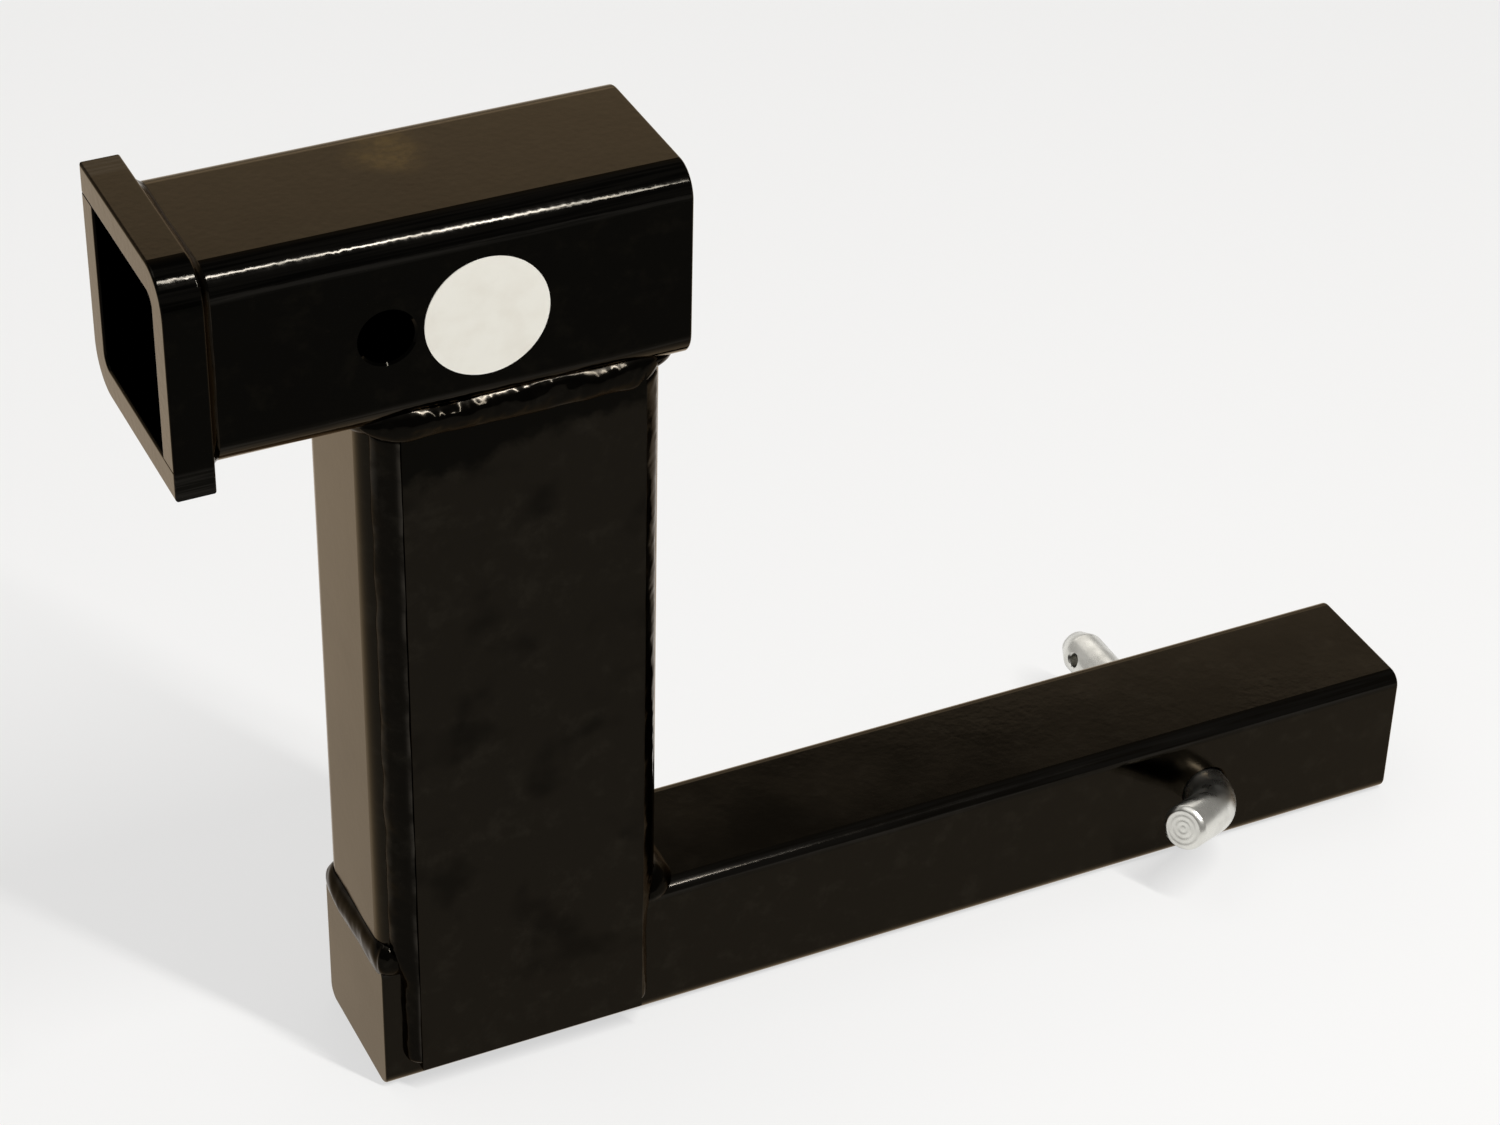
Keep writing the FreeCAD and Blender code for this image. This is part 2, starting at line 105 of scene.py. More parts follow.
class Nodes:
    """Short forms for making and joining the nodes of one material."""

    def __init__(self, name):
        self.material = bpy.data.materials.new(name)
        self.material.use_nodes = True
        self.tree = self.material.node_tree
        self.shader = self.tree.nodes["Principled BSDF"]
        self.place = self.add("ShaderNodeTexCoord").outputs["Object"]

    def add(self, kind, **settings):
        node = self.tree.nodes.new(kind)
        for key, value in settings.items():
            setattr(node, key, value)
        return node

    def join(self, source, target):
        self.tree.links.new(source, target)

    def noise(self, size, detail=2.0, roughness=0.5, stretch=(1, 1, 1)):
        """Noise whose grains are about size metres across."""
        spread = self.add("ShaderNodeMapping")
        spread.inputs["Scale"].default_value = stretch
        self.join(self.place, spread.inputs["Vector"])
        texture = self.add("ShaderNodeTexNoise")
        texture.inputs["Scale"].default_value = 1 / size
        texture.inputs["Detail"].default_value = detail
        texture.inputs["Roughness"].default_value = roughness
        self.join(spread.outputs["Vector"], texture.inputs["Vector"])
        return texture.outputs["Fac"]

    def span(self, value, low, high, out_low, out_high):
        """Map a value from one range to another, smoothly and within limits."""
        ramp = self.add("ShaderNodeMapRange", interpolation_type="SMOOTHSTEP")
        ramp.inputs["From Min"].default_value = low
        ramp.inputs["From Max"].default_value = high
        ramp.inputs["To Min"].default_value = out_low
        ramp.inputs["To Max"].default_value = out_high
        self.join(value, ramp.inputs["Value"])
        return ramp.outputs["Result"]

    def mix(self, share, first, second):
        """Mix two colours. Each is a colour or the output of another node."""
        blend = self.add("ShaderNodeMix", data_type="RGBA")
        self.join(share, blend.inputs["Factor"])
        for colour, socket in ((first, blend.inputs["A"]), (second, blend.inputs["B"])):
            if isinstance(colour, tuple):
                socket.default_value = colour
            else:
                self.join(colour, socket)
        return blend.outputs["Result"]

    def math(self, operation, first, second):
        """Arithmetic on two values. Each is a number or the output of another node."""
        node = self.add("ShaderNodeMath", operation=operation)
        for value, socket in ((first, node.inputs[0]), (second, node.inputs[1])):
            if isinstance(value, (int, float)):
                socket.default_value = value
            else:
                self.join(value, socket)
        return node.outputs[0]

    def bump(self, height, depth, under=None):
        """A bump of the depth given, in metres, on top of another bump if there is one."""
        node = self.add("ShaderNodeBump")
        node.inputs["Strength"].default_value = 1.0
        node.inputs["Distance"].default_value = depth
        self.join(height, node.inputs["Height"])
        if under:
            self.join(under, node.inputs["Normal"])
        return node.outputs["Normal"]


def powder_coat(name, black, dust, peel_depth, wave_depth, matt=COAT_MATT, edge=WARM_REFLECTION_TINT,
                corners=None, smudge_at=None, weld_reflection_and_patches=None, toes=False):
    """Gloss black powder coat: orange peel, slow waves in the surface, faint dust and uneven gloss. It is so
    dark and so smooth that nearly all the light it sends back is mirrored, so it is made as a black mirror.
    The tint of its reflections at grazing angles is painted: warm on the coat as a painted warm reflection,
    and dimmer on the welds as painted shade."""
    n = Nodes(name)
    specks = n.span(n.noise(9 * MM, 5, 0.65), 0.50, 0.72, 0, 1)
    colour = n.mix(specks, black, dust)
    if corners:
        # Painted highlight: the long corners take a brighter reflectance, in streaks along the tube, so that
        # the key lamp's line along each corner shows brighter. Start is the distance from the tube's two
        # middle planes at which a corner begins, and height is that of the level plane.
        start, height, painted_sheen = corners
        axes = n.add("ShaderNodeSeparateXYZ")
        n.join(n.place, axes.inputs["Vector"])
        sideways = n.math("ABSOLUTE", axes.outputs["Y"], 0.0)
        upward = n.math("ABSOLUTE", n.math("SUBTRACT", axes.outputs["Z"], height), 0.0)
        corner = n.span(n.math("MINIMUM", sideways, upward), start, start + CORNER_FADE, 0, 1)
        streaks = n.span(n.noise(1.0 * MM, 3, 0.6, (0.02, 1, 1)), 0.36, 0.60, 0.15, 1)
        colour = n.mix(n.math("MULTIPLY", corner, streaks), colour, painted_sheen)
    if smudge_at:
        # A rubbed, yellowish mark that fades out over its own reach
        reach = n.add("ShaderNodeVectorMath", operation="DISTANCE")
        reach.inputs[1].default_value = smudge_at
        n.join(n.place, reach.inputs[0])
        fray = n.math("MULTIPLY", n.noise(14 * MM, 4), 18 * MM)
        ragged = n.math("ADD", reach.outputs["Value"], fray)
        worn = n.span(n.noise(3 * MM, 3), 0.3, 0.7, 0.4, 1)
        mark = n.span(ragged, 12 * MM, 24 * MM, 1, 0)
        colour = n.mix(n.math("MULTIPLY", mark, worn), colour, SMUDGE_TAN)
    if weld_reflection_and_patches:
        # Under the weld above it the plate is a deeper black, down to a ragged edge that slopes: a painted
        # dark reflection of the bead and the receiver above it. A few faint darker patches lie further down.
        slope, level = weld_reflection_and_patches
        rise = n.add("ShaderNodeVectorMath", operation="DOT_PRODUCT")
        rise.inputs[1].default_value = (-slope, 0, 1)
        n.join(n.place, rise.inputs[0])
        fray = n.math("MULTIPLY", n.noise(12 * MM, 4, 0.6), 16 * MM)
        ragged = n.math("ADD", rise.outputs["Value"], fray)
        above = n.span(ragged, level + 5 * MM, level + 11 * MM, 0, 0.95)
        colour = n.mix(above, colour, DEEP_BLACK)
        patches = n.span(n.noise(34 * MM, 3, 0.55), 0.52, 0.68, 0, 0.6)
        colour = n.mix(patches, colour, DEEP_BLACK)
    if toes:
        # The coat is lighter grey in places where a bead runs out
        toe = n.add("ShaderNodeAttribute", attribute_name=TOE_LAYER).outputs["Fac"]
        worn = n.span(n.noise(8 * MM, 4), 0.35, 0.65, 0.15, 1)
        colour = n.mix(n.math("MULTIPLY", toe, worn), colour, TOE_GREY)
    n.join(colour, n.shader.inputs["Base Color"])
    n.join(n.span(n.noise(30 * MM, 4), 0.3, 0.75, *matt), n.shader.inputs["Roughness"])
    waves = n.bump(n.noise(26 * MM, 1), wave_depth)
    n.join(n.bump(n.noise(2.6 * MM, 1), peel_depth, waves), n.shader.inputs["Normal"])
    n.shader.inputs["Metallic"].default_value = 1.0
    # Painted reflection tint at grazing angles
    n.shader.inputs["Specular Tint"].default_value = edge
    return n.material


def zinc_plate():
    """Bright zinc on steel: fine drawing marks along the rod and dull patches."""
    n = Nodes("zinc_plate")
    patches = n.span(n.noise(7 * MM, 4), 0.4, 0.68, 0, 1)
    n.join(n.mix(patches, ZINC_BRIGHT, ZINC_DULL), n.shader.inputs["Base Color"])
    n.join(n.span(n.noise(5 * MM, 5), 0.3, 0.7, 0.25, 0.34), n.shader.inputs["Roughness"])
    drawn = n.bump(n.noise(0.9 * MM, 3, 0.6, (1, 0.08, 1)), 0.0025 * MM)
    n.join(n.bump(n.noise(7 * MM, 1), 0.006 * MM, drawn), n.shader.inputs["Normal"])
    n.shader.inputs["Metallic"].default_value = 1.0
    return n.material


def blank_vinyl():
    """A blank cream sticker, a little uneven and slightly yellowed."""
    n = Nodes("blank_vinyl")
    yellowed = n.span(n.noise(11 * MM, 4), 0.4, 0.75, 0, 1)
    n.join(n.mix(yellowed, LABEL_CREAM, LABEL_SHADE), n.shader.inputs["Base Color"])
    n.join(n.span(n.noise(4 * MM, 3), 0.3, 0.7, 0.28, 0.42), n.shader.inputs["Roughness"])
    n.join(n.bump(n.noise(6 * MM, 2), 0.02 * MM), n.shader.inputs["Normal"])
    return n.material


def pale_surface(name, colour, grain, white_share):
    """A pale matt sheet that takes light and shade. The camera and reflections see it nearer to white, by the
    share given."""
    n = Nodes(name)
    shade = tuple(part * PALE_SHADE for part in colour[:3]) + (1,)
    n.join(n.mix(n.noise(grain, 3), colour, shade), n.shader.inputs["Base Color"])
    n.shader.inputs["Roughness"].default_value = PALE_ROUGHNESS
    n.shader.inputs["Specular IOR Level"].default_value = PALE_SPECULAR
    path = n.add("ShaderNodeLightPath")
    mirrored = n.math("MAXIMUM", path.outputs["Is Glossy Ray"], path.outputs["Is Transmission Ray"])
    seen = n.math("MAXIMUM", path.outputs["Is Camera Ray"], mirrored)
    white = n.add("ShaderNodeEmission")
    blend = n.add("ShaderNodeMixShader")
    n.join(n.math("MULTIPLY", seen, white_share), blend.inputs["Fac"])
    n.join(n.shader.outputs["BSDF"], blend.inputs[1])
    n.join(white.outputs["Emission"], blend.inputs[2])
    n.join(blend.outputs["Shader"], n.tree.nodes["Material Output"].inputs["Surface"])
    return n.material


def dress(piece, material):
    """Give a piece one material."""
    piece.data.materials.clear()
    piece.data.materials.append(material)
    return piece


# Where the pieces are, from the frame
post_low, post_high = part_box("post_tube")
shank_low, shank_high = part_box("shank_bar")
tube_low, tube_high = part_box("receiver_tube")
collar_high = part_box("collar_upper_bar")[1]
plate_low, plate_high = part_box("side_plate_near")
shank_middle = (shank_low.z + shank_high.z) / 2
post_half = post_high.y
plate_face = -plate_low.y

# Radii of the long corners
POST_CORNER = 8.0 * MM
RECEIVER_CORNER = 9.5 * MM
SHANK_CORNER = 5.0 * MM

# Weld beads: the distance between stations, and the number of faces across the skin
STATION = 0.5 * MM
LEAST_STATIONS = 8
COLUMNS = 18
# Ripples, and how far they trail behind at the toes
RIPPLE_PITCH = 3.4 * MM
TRAIL = 1.4 * MM
# Frozen drops
KNOT_HEIGHT = 1.3 * MM
KNOT_WIDTH = 1.0 * MM
# How far a bead goes on past the post's corner, how deep its root lies and how deep its toes sink
WRAP = 5.0 * MM
ROOT_DEPTH = 0.8 * MM
SINK = 0.15 * MM
# Lengths over which the toes, the swelling, the trail, the lumps and the grain change
TOE_CHANGE = 11 * MM
SWELL_CHANGE = 13 * MM
TRAIL_CHANGE = 8 * MM
LUMP_CHANGE = 7 * MM
GRAIN_CHANGE = 2.6 * MM
# How fast lumps and grain change across the skin, and the share of the lumps that do
LUMP_ACROSS = 1.9
GRAIN_ACROSS = 4.2
LUMP_SHARE = 0.6
# Step between the random patterns of one bead
PATTERN_STEP = 3.7
# Shape of a bead's ends: 0.5 is round, 1 is pointed
RUN_OUT = 0.7


def make_mesh(name, points, faces):
    """A smooth piece whose faces all look outward."""
    mesh = bpy.data.meshes.new(name)
    mesh.from_pydata(points, [], faces)
    work = bmesh.new()
    work.from_mesh(mesh)
    bmesh.ops.recalc_face_normals(work, faces=work.faces)
    work.to_mesh(mesh)
    work.free()
    mesh.polygons.foreach_set("use_smooth", [True] * len(mesh.polygons))
    piece = bpy.data.objects.new(name, mesh)
    bpy.context.scene.collection.objects.link(piece)
    return piece


def bead(name, stations, replaced, seed, bulge, lumps, ripple=0.02 * MM, grain=0.05 * MM,
         tapers=(4 * MM, 4 * MM), lean=0.5, wavy=0.08, knots=(), toe_widths=(0.16, 0.12), greys=None,
         ring=False):
    """A weld bead. Each station is (root, first toe, second toe): the root lies in the steel, and the toes
    lie where the bead's skin meets the two pieces. The skin swells by bulge between the toes, most strongly
    at the share lean of the way across, and wanders by lumps and, finely, by grain. Tapers are the lengths
    over which its two ends run out. Knots are places along the bead, as shares of its length, where a drop
    has frozen. Toe widths are the shares of the skin that turn grey at the two toes, and greys how strongly
    they do at each station. A ring closes on itself and has no ends."""
    middles = [(first + second) / 2 for root, first, second in stations]
    lengths = [0.0]
    for before, after in zip(middles, middles[1:]):
        lengths.append(lengths[-1] + (after - before).length)
    total = lengths[-1]
    if ring:
        total += (middles[0] - middles[-1]).length

    def wander(number, along, size, across=0.0):
        """Smooth random value from about -1 to 1 that drifts as the bead runs along."""
        pattern = seed + PATTERN_STEP * number
        if ring:
            turn = 2 * math.pi * along / total
            reach = total / (2 * math.pi * size)
            return noise.noise(Vector((reach * math.cos(turn), reach * math.sin(turn), pattern)))
        return noise.noise(Vector((along / size, across, pattern)))

    points, toes = [], []
    greys = greys or [1.0] * len(stations)
    for along, grey, (root, first, second) in zip(lengths, greys, stations):
        ends = 1.0 if ring else min(1.0, along / tapers[0], (total - along) / tapers[1])
        fade = (1 - (1 - ends) ** 2) ** RUN_OUT
        first = root + (first - root) * (1 + wavy * wander(0, along, TOE_CHANGE))
        second = root + (second - root) * (1 + wavy * wander(1, along, TOE_CHANGE))
        outward = ((first + second) / 2 - root).normalized()
        swell = bulge + lumps * wander(2, along, SWELL_CHANGE)
        for knot in knots:
            swell += KNOT_HEIGHT * math.exp(-((along - knot * total) / KNOT_WIDTH) ** 2)
        crown = first + (second - first) * lean + outward * 2 * swell
        for column in range(COLUMNS + 1):
            t = column / COLUMNS
            skin = first * (1 - t) ** 2 + crown * 2 * t * (1 - t) + second * t ** 2
            # Ripples are crescents that trail behind at the toes
            place = along + TRAIL * (2 * t - 1) ** 2 + TRAIL * wander(3, along, TRAIL_CHANGE)
            height = ripple * (0.5 + 0.5 * math.cos(2 * math.pi * place / RIPPLE_PITCH))
            height += LUMP_SHARE * lumps * wander(4, along, LUMP_CHANGE, LUMP_ACROSS * t)
            height += grain * wander(5, along, GRAIN_CHANGE, GRAIN_ACROSS * t)
            swelling = math.sin(math.pi * t)
            skin = skin + (skin - root).normalized() * (height * swelling - SINK * (1 - swelling))
            points.append(root + (skin - root) * fade)
            toes.append(grey * max(0.0, 1 - t / toe_widths[0], 1 - (1 - t) / toe_widths[1]))
        points.append(root.copy())
        toes.append(0.0)
    row = COLUMNS + 2
    count = len(stations)
    faces = []
    for i in range(count if ring else count - 1):
        here, after = i * row, (i + 1) % count * row
        for j in range(row):
            k = (j + 1) % row
            faces.append((here + j, here + k, after + k, after + j))
    if not ring:
        last = (count - 1) * row
        faces.append(tuple(range(row)))
        faces.append(tuple(last + j for j in reversed(range(row))))
    piece = make_mesh(name, points, faces)
    piece.data.attributes.new(TOE_LAYER, "FLOAT", "POINT").data.foreach_set("value", toes)
    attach(piece, BODY)
    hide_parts(*replaced)
    return dress(piece, weld_coat)


def steps(length):
    """Evenly spaced shares from 0 to 1 for a bead of the length given."""
    count = max(LEAST_STATIONS, round(length / STATION))
    return [i / count for i in range(count + 1)]


def smooth_step(low, high, value):
    """0 below low, 1 above high, and a smooth rise between them."""
    share = min(1.0, max(0.0, (value - low) / (high - low)))
    return share * share * (3 - 2 * share)


# Upright beads: how they look on the front and the rear edge of a plate, how much of the grey of their
# toes is lost on the post, and the start of their random patterns
EDGE_STYLES = {
    "front": {"lumps": 0.5 * MM, "tapers": (4 * MM, 3 * MM), "wavy": 0.07, "toe_widths": (0.42, 0.12)},
    "rear": {"lumps": 0.22 * MM, "tapers": (3 * MM, 3 * MM), "wavy": 0.03, "toe_widths": (0.9, 0.12)},
}
EDGE_GREY_LOSS = {"front": 0.0, "rear": 0.8}
EDGE_SEEDS = {("near", "front"): 10, ("near", "rear"): 30, ("far", "front"): 50, ("far", "rear"): 70}


def plate_edge_bead(side, end):
    """The upright bead along one edge of a side plate: on the post's rounded corner, then on the shank."""
    sign = -1 if side == "near" else 1
    if end == "front":
        away, edge_x, corner_x = -1, plate_low.x, post_low.x + POST_CORNER
    else:
        away, edge_x, corner_x = 1, plate_high.x, post_high.x - POST_CORNER
    top, bottom = tube_low.z - 2 * MM, plate_low.z
    shank_leg, post_leg, edge_left, step_reach = 4.0 * MM, 6.9 * MM, 0.2 * MM, 7 * MM
    stations, greys = [], []
    for share in steps(top - bottom):
        z = bottom + (top - bottom) * share
        on_post = smooth_step(shank_high.z - step_reach, shank_high.z + step_reach, z)
        toe_x = edge_x + away * (shank_leg + (post_leg - shank_leg) * on_post)
        past = max(0.0, (toe_x - corner_x) * away)
        drop = POST_CORNER - math.sqrt(POST_CORNER ** 2 - past ** 2)
        root = Vector((edge_x, sign * (post_half - ROOT_DEPTH), z))
        first = Vector((toe_x, sign * (post_half - drop * on_post), z))
        second = Vector((edge_x, sign * (plate_face - edge_left), z))
        stations.append((root, first, second))
        greys.append(1 - EDGE_GREY_LOSS[end] * on_post)
    name = f"{side}_{end}"
    bead(f"edge_bead_{name}", stations, [f"plate_weld_{name}", f"lap_weld_{name}"], EDGE_SEEDS[side, end],
         bulge=1.0 * MM, grain=0.10 * MM, lean=0.25, greys=greys, **EDGE_STYLES[end])


def post_top_bead(side, seed):
    """The large bead that fills the groove between a plate's top and the receiver's rounded corner."""
    sign = -1 if side == "near" else 1
    start, end = post_low.x - 1 * MM, post_high.x - 3 * MM
    # How far the toes lie above and below the groove, the share by which that varies, and over what length
    rise, rise_varies, rise_change = 5.4 * MM, 0.12, 30 * MM
    fall, fall_varies, fall_change = 4.6 * MM, 0.38, 26 * MM
    root_out, root_up = 0.5 * MM, 0.6 * MM
    level = tube_low.z
    stations = []
    for share in steps(end - start):
        x = start + (end - start) * share
        lift = rise * (1 + rise_varies * noise.noise(Vector((x / rise_change, seed, 0))))
        corner_in = RECEIVER_CORNER - math.sqrt(RECEIVER_CORNER ** 2 - (RECEIVER_CORNER - lift) ** 2)
        sag = fall * (1 + fall_varies * noise.noise(Vector((x / fall_change, seed, 5))))
        root = Vector((x, sign * (post_half + root_out), level + root_up))
        first = Vector((x, sign * (tube_high.y - corner_in), level + lift))
        second = Vector((x, sign * plate_face, level - sag))
        stations.append((root, first, second))
    bead(f"top_bead_{side}", stations, [f"post_weld_{side}"], seed,
         bulge=2.0 * MM, lumps=1.1 * MM, ripple=0.10 * MM, grain=0.25 * MM,
         tapers=(15 * MM, 13 * MM), lean=0.42)


def round_post(end, reach):
    """Points of the post's outline round one end, from the near to the far side, each with its way out."""
    away = -1 if end == "front" else 1
    wall_x = post_low.x if end == "front" else post_high.x
    centre_x = wall_x - away * POST_CORNER
    inner_y = post_half - POST_CORNER
    arc = POST_CORNER * math.pi / 2
    total = 2 * reach + 2 * arc + 2 * inner_y
    outline = []
    for share in steps(total):
        s = share * total
        half = min(s, total - s)
        sign = -1 if s <= total / 2 else 1
        if half < reach:
            point = Vector((centre_x - away * (reach - half), sign * post_half, 0))
            out = Vector((0, sign, 0))
        elif half < reach + arc:
            turn = (half - reach) / POST_CORNER
            out = Vector((away * math.sin(turn), sign * math.cos(turn), 0))
            point = Vector((centre_x, sign * inner_y, 0)) + out * POST_CORNER
        else:
            point = Vector((wall_x, sign * (inner_y - (half - reach - arc)), 0))
            out = Vector((away, 0, 0))
        outline.append((point, out))
    return outline


def post_end_bead(end, leg, seed):
    """The fillet under the receiver round one end of the post."""
    level = Vector((0, 0, tube_low.z))
    up = Vector((0, 0, 1))
    side_lift = 1.4 * MM
    stations = []
    for point, out in round_post(end, WRAP):
        side_turn = abs(out.y)
        root = point - out * ROOT_DEPTH + level + up * ROOT_DEPTH
        first = point + out * leg + level + up * side_lift * side_turn
        second = point + level - up * leg
        stations.append((root, first, second))
    bead(f"top_bead_{end}", stations, [f"post_weld_{end}"], seed, bulge=0.5 * MM, lumps=0.3 * MM)


def foot_front_bead(seed):
    """The low wide bead over the flush seam between the post's foot and the shank's end."""
    level = Vector((0, 0, shank_high.z))
    up = Vector((0, 0, 1))
    ledge = post_low.x - shank_low.x
    root_in, root_down = 2.5 * MM, 0.5 * MM
    # How far the toes lie above, below and outside the seam, and how that changes at the corners
    rise, corner_rise = 7.0 * MM, 0.5 * MM
    fall, corner_fall = 6.2 * MM, -3.2 * MM
    corner_out = 3.4 * MM
    stations = []
    for point, out in round_post("front", WRAP):
        corner = 2 * min(abs(out.x), abs(out.y)) ** 2
        root = point - out * root_in + level - up * root_down
        first = point + level + up * (rise + corner_rise * corner)
        second = point + out * (ledge + corner_out * corner) + level - up * (fall + corner_fall * corner)
        stations.append((root, first, second))
    bead("foot_bead_front", stations, ["foot_weld_front"], seed, bulge=1.7 * MM, lumps=0.8 * MM,
         tapers=(18 * MM, 18 * MM), knots=(0.115, 0.15, 0.185))


def foot_rear_bead(seed):
    """The fillet between the post's rear wall and the shank's top."""
    level = Vector((0, 0, shank_high.z))
    up = Vector((0, 0, 1))
    leg, side_cut, side_drop = 7.0 * MM, 0.45, 1.2 * MM
    stations = []
    for point, out in round_post("rear", WRAP):
        side_turn = abs(out.y)
        root = point - out * ROOT_DEPTH + level - up * ROOT_DEPTH
        first = point + level + up * leg
        second = point + out * leg * (1 - side_cut * side_turn) + level - up * side_drop * side_turn
        stations.append((root, first, second))
    bead("foot_bead_rear", stations, ["foot_weld_rear"], seed, bulge=0.7 * MM, lumps=0.4 * MM,
         tapers=(11 * MM, 11 * MM))


def collar_bead(seed):
    """The small hollow fillet all round the tube behind the collar."""
    leg, rise = 3.0 * MM, 3.0 * MM
    half, flat = tube_high.z, tube_high.z - RECEIVER_CORNER
    quarter = RECEIVER_CORNER * math.pi / 2
    side = 2 * flat + quarter
    along_x = Vector((1, 0, 0))
    stations = []
    for share in steps(4 * side)[:-1]:
        quadrant, travelled = divmod(4 * side * share, side)
        turn = Matrix.Rotation(quadrant * math.pi / 2, 3, "X")
        if travelled < 2 * flat:
            out = Vector((0, 1, 0))
            point = Vector((0, half, travelled - flat))
        else:
            angle = (travelled - 2 * flat) / RECEIVER_CORNER
            out = Vector((0, math.cos(angle), math.sin(angle)))
            point = Vector((0, flat, flat)) + out * RECEIVER_CORNER
        point = turn @ point + along_x * tube_low.x
        out = turn @ out
        root = point - (out + along_x) * ROOT_DEPTH
        stations.append((root, point + out * rise, point + along_x * leg))
    bead("collar_bead", stations, ["collar_weld"], seed, bulge=-0.45 * MM, lumps=0.12 * MM, ring=True)


# The pin, drawn about its bend: the shaft comes up along +Y and the handle turns towards -X
PIN_RADIUS = 7.92 * MM
PIN_BEND = 15.5 * MM
PIN_TURN = math.radians(61)
PIN_LIFT = math.radians(18)
PIN_SHAFT = 92.4 * MM
PIN_GAP = 1.0 * MM
HANDLE_LENGTH = 19.0 * MM
HANDLE_CHAMFER = 1.5 * MM
TIP_TAPER = 6.0 * MM
TIP_RADIUS = 5.38 * MM
CLIP_INSET = 11.5 * MM
CLIP_RADIUS = 2.5 * MM
CLIP_RIM = 0.7 * MM
BORE_INSET = 76.2 * MM
RING_PITCH = 1.9 * MM
RING_DEPTH = 0.07 * MM
# Softened edges of the pin: how far they reach along it, and how much they take off its radius
TIP_EDGE = 0.4 * MM
TIP_EDGE_CUT = 0.5 * MM
HANDLE_EDGE = 0.3 * MM
EDGE_CUT = 0.2 * MM
FACE_MARGIN = 0.4 * MM
# Fineness of the pin's mesh, and how far the cutter of its clip hole stands out
PIN_SIDES = 72
HOLE_SIDES = 40
BEND_STEPS = 28
FACE_STEPS = 48
CUTTER_OVERRUN = 3 * MM
SHARP_ANGLE = math.radians(40)
pin_turn = Matrix.Rotation(PIN_LIFT, 4, "Y") @ Matrix.Rotation(math.pi, 4, "X")
pin_place = Matrix.Translation((
    shank_high.x - BORE_INSET - PIN_BEND * math.cos(PIN_LIFT),
    shank_low.y - PIN_GAP,
    shank_middle + PIN_BEND * math.sin(PIN_LIFT))) @ pin_turn


def turned_mesh(name, rings, sides):
    """A closed mesh of rings. Each ring is (middle, first way across, second way across, radius)."""
    points, faces = [], []
    for middle, across, along, radius in rings:
        for i in range(sides):
            angle = 2 * math.pi * i / sides
            points.append(middle + (across * math.cos(angle) + along * math.sin(angle)) * radius)
    for i in range(len(rings) - 1):
        for j in range(sides):
            k = (j + 1) % sides
            faces.append((i * sides + j, i * sides + k, (i + 1) * sides + k, (i + 1) * sides + j))
    last = (len(rings) - 1) * sides
    faces.append(tuple(range(sides)))
    faces.append(tuple(last + j for j in range(sides)))
    return make_mesh(name, points, faces)


def pin_rings():
    """The rings of the pin from its tip, round the bend, to the middle of the handle's end."""
    up = Vector((0, 0, 1))
    side = Vector((1, 0, 0))
    tip = ((-PIN_SHAFT, TIP_RADIUS - TIP_EDGE_CUT),
           (-PIN_SHAFT + TIP_EDGE, TIP_RADIUS),
           (-PIN_SHAFT + TIP_TAPER - TIP_EDGE, PIN_RADIUS - EDGE_CUT),
           (-PIN_SHAFT + TIP_TAPER + TIP_EDGE, PIN_RADIUS),
           (-PIN_SHAFT / 2, PIN_RADIUS))
    rings = [(Vector((PIN_BEND, y, 0)), side, up, radius) for y, radius in tip]
    for i in range(BEND_STEPS + 1):
        angle = PIN_TURN * i / BEND_STEPS
        out = Vector((math.cos(angle), math.sin(angle), 0))
        rings.append((out * PIN_BEND, out, up, PIN_RADIUS))
    # The handle goes straight on from the end of the bend, so it keeps the last ring's way out
    along = Vector((-math.sin(PIN_TURN), math.cos(PIN_TURN), 0))
    handle = [(HANDLE_LENGTH - HANDLE_CHAMFER - HANDLE_EDGE, PIN_RADIUS),
              (HANDLE_LENGTH - HANDLE_CHAMFER + EDGE_CUT, PIN_RADIUS - EDGE_CUT),
              (HANDLE_LENGTH - EDGE_CUT, PIN_RADIUS - HANDLE_CHAMFER + EDGE_CUT),
              (HANDLE_LENGTH, PIN_RADIUS - HANDLE_CHAMFER - EDGE_CUT)]
    # Rings that the cutting tool left on the end
    face = PIN_RADIUS - HANDLE_CHAMFER - FACE_MARGIN
    for i in range(FACE_STEPS):
        radius = face * (1 - i / FACE_STEPS)
        depth = RING_DEPTH * (0.5 - 0.5 * math.cos(2 * math.pi * (face - radius) / RING_PITCH))
        handle.append((HANDLE_LENGTH - depth, radius))
    for length, radius in handle:
        rings.append((out * PIN_BEND + along * length, out, up, radius))
    return rings


def clip_hole_rings():
    """The cutter of the clip hole, which widens at both ends to break the hole's rims."""
    up = Vector((0, 0, 1))
    forward = Vector((0, 1, 0))
    wide = CLIP_RADIUS + CLIP_RIM + CUTTER_OVERRUN
    profile = ((-PIN_RADIUS - CUTTER_OVERRUN, wide), (-PIN_RADIUS + CLIP_RIM, CLIP_RADIUS),
               (PIN_RADIUS - CLIP_RIM, CLIP_RADIUS), (PIN_RADIUS + CUTTER_OVERRUN, wide))
    y = CLIP_INSET - PIN_SHAFT
    return [(Vector((PIN_BEND + x, y, 0)), forward, up, radius) for x, radius in profile]


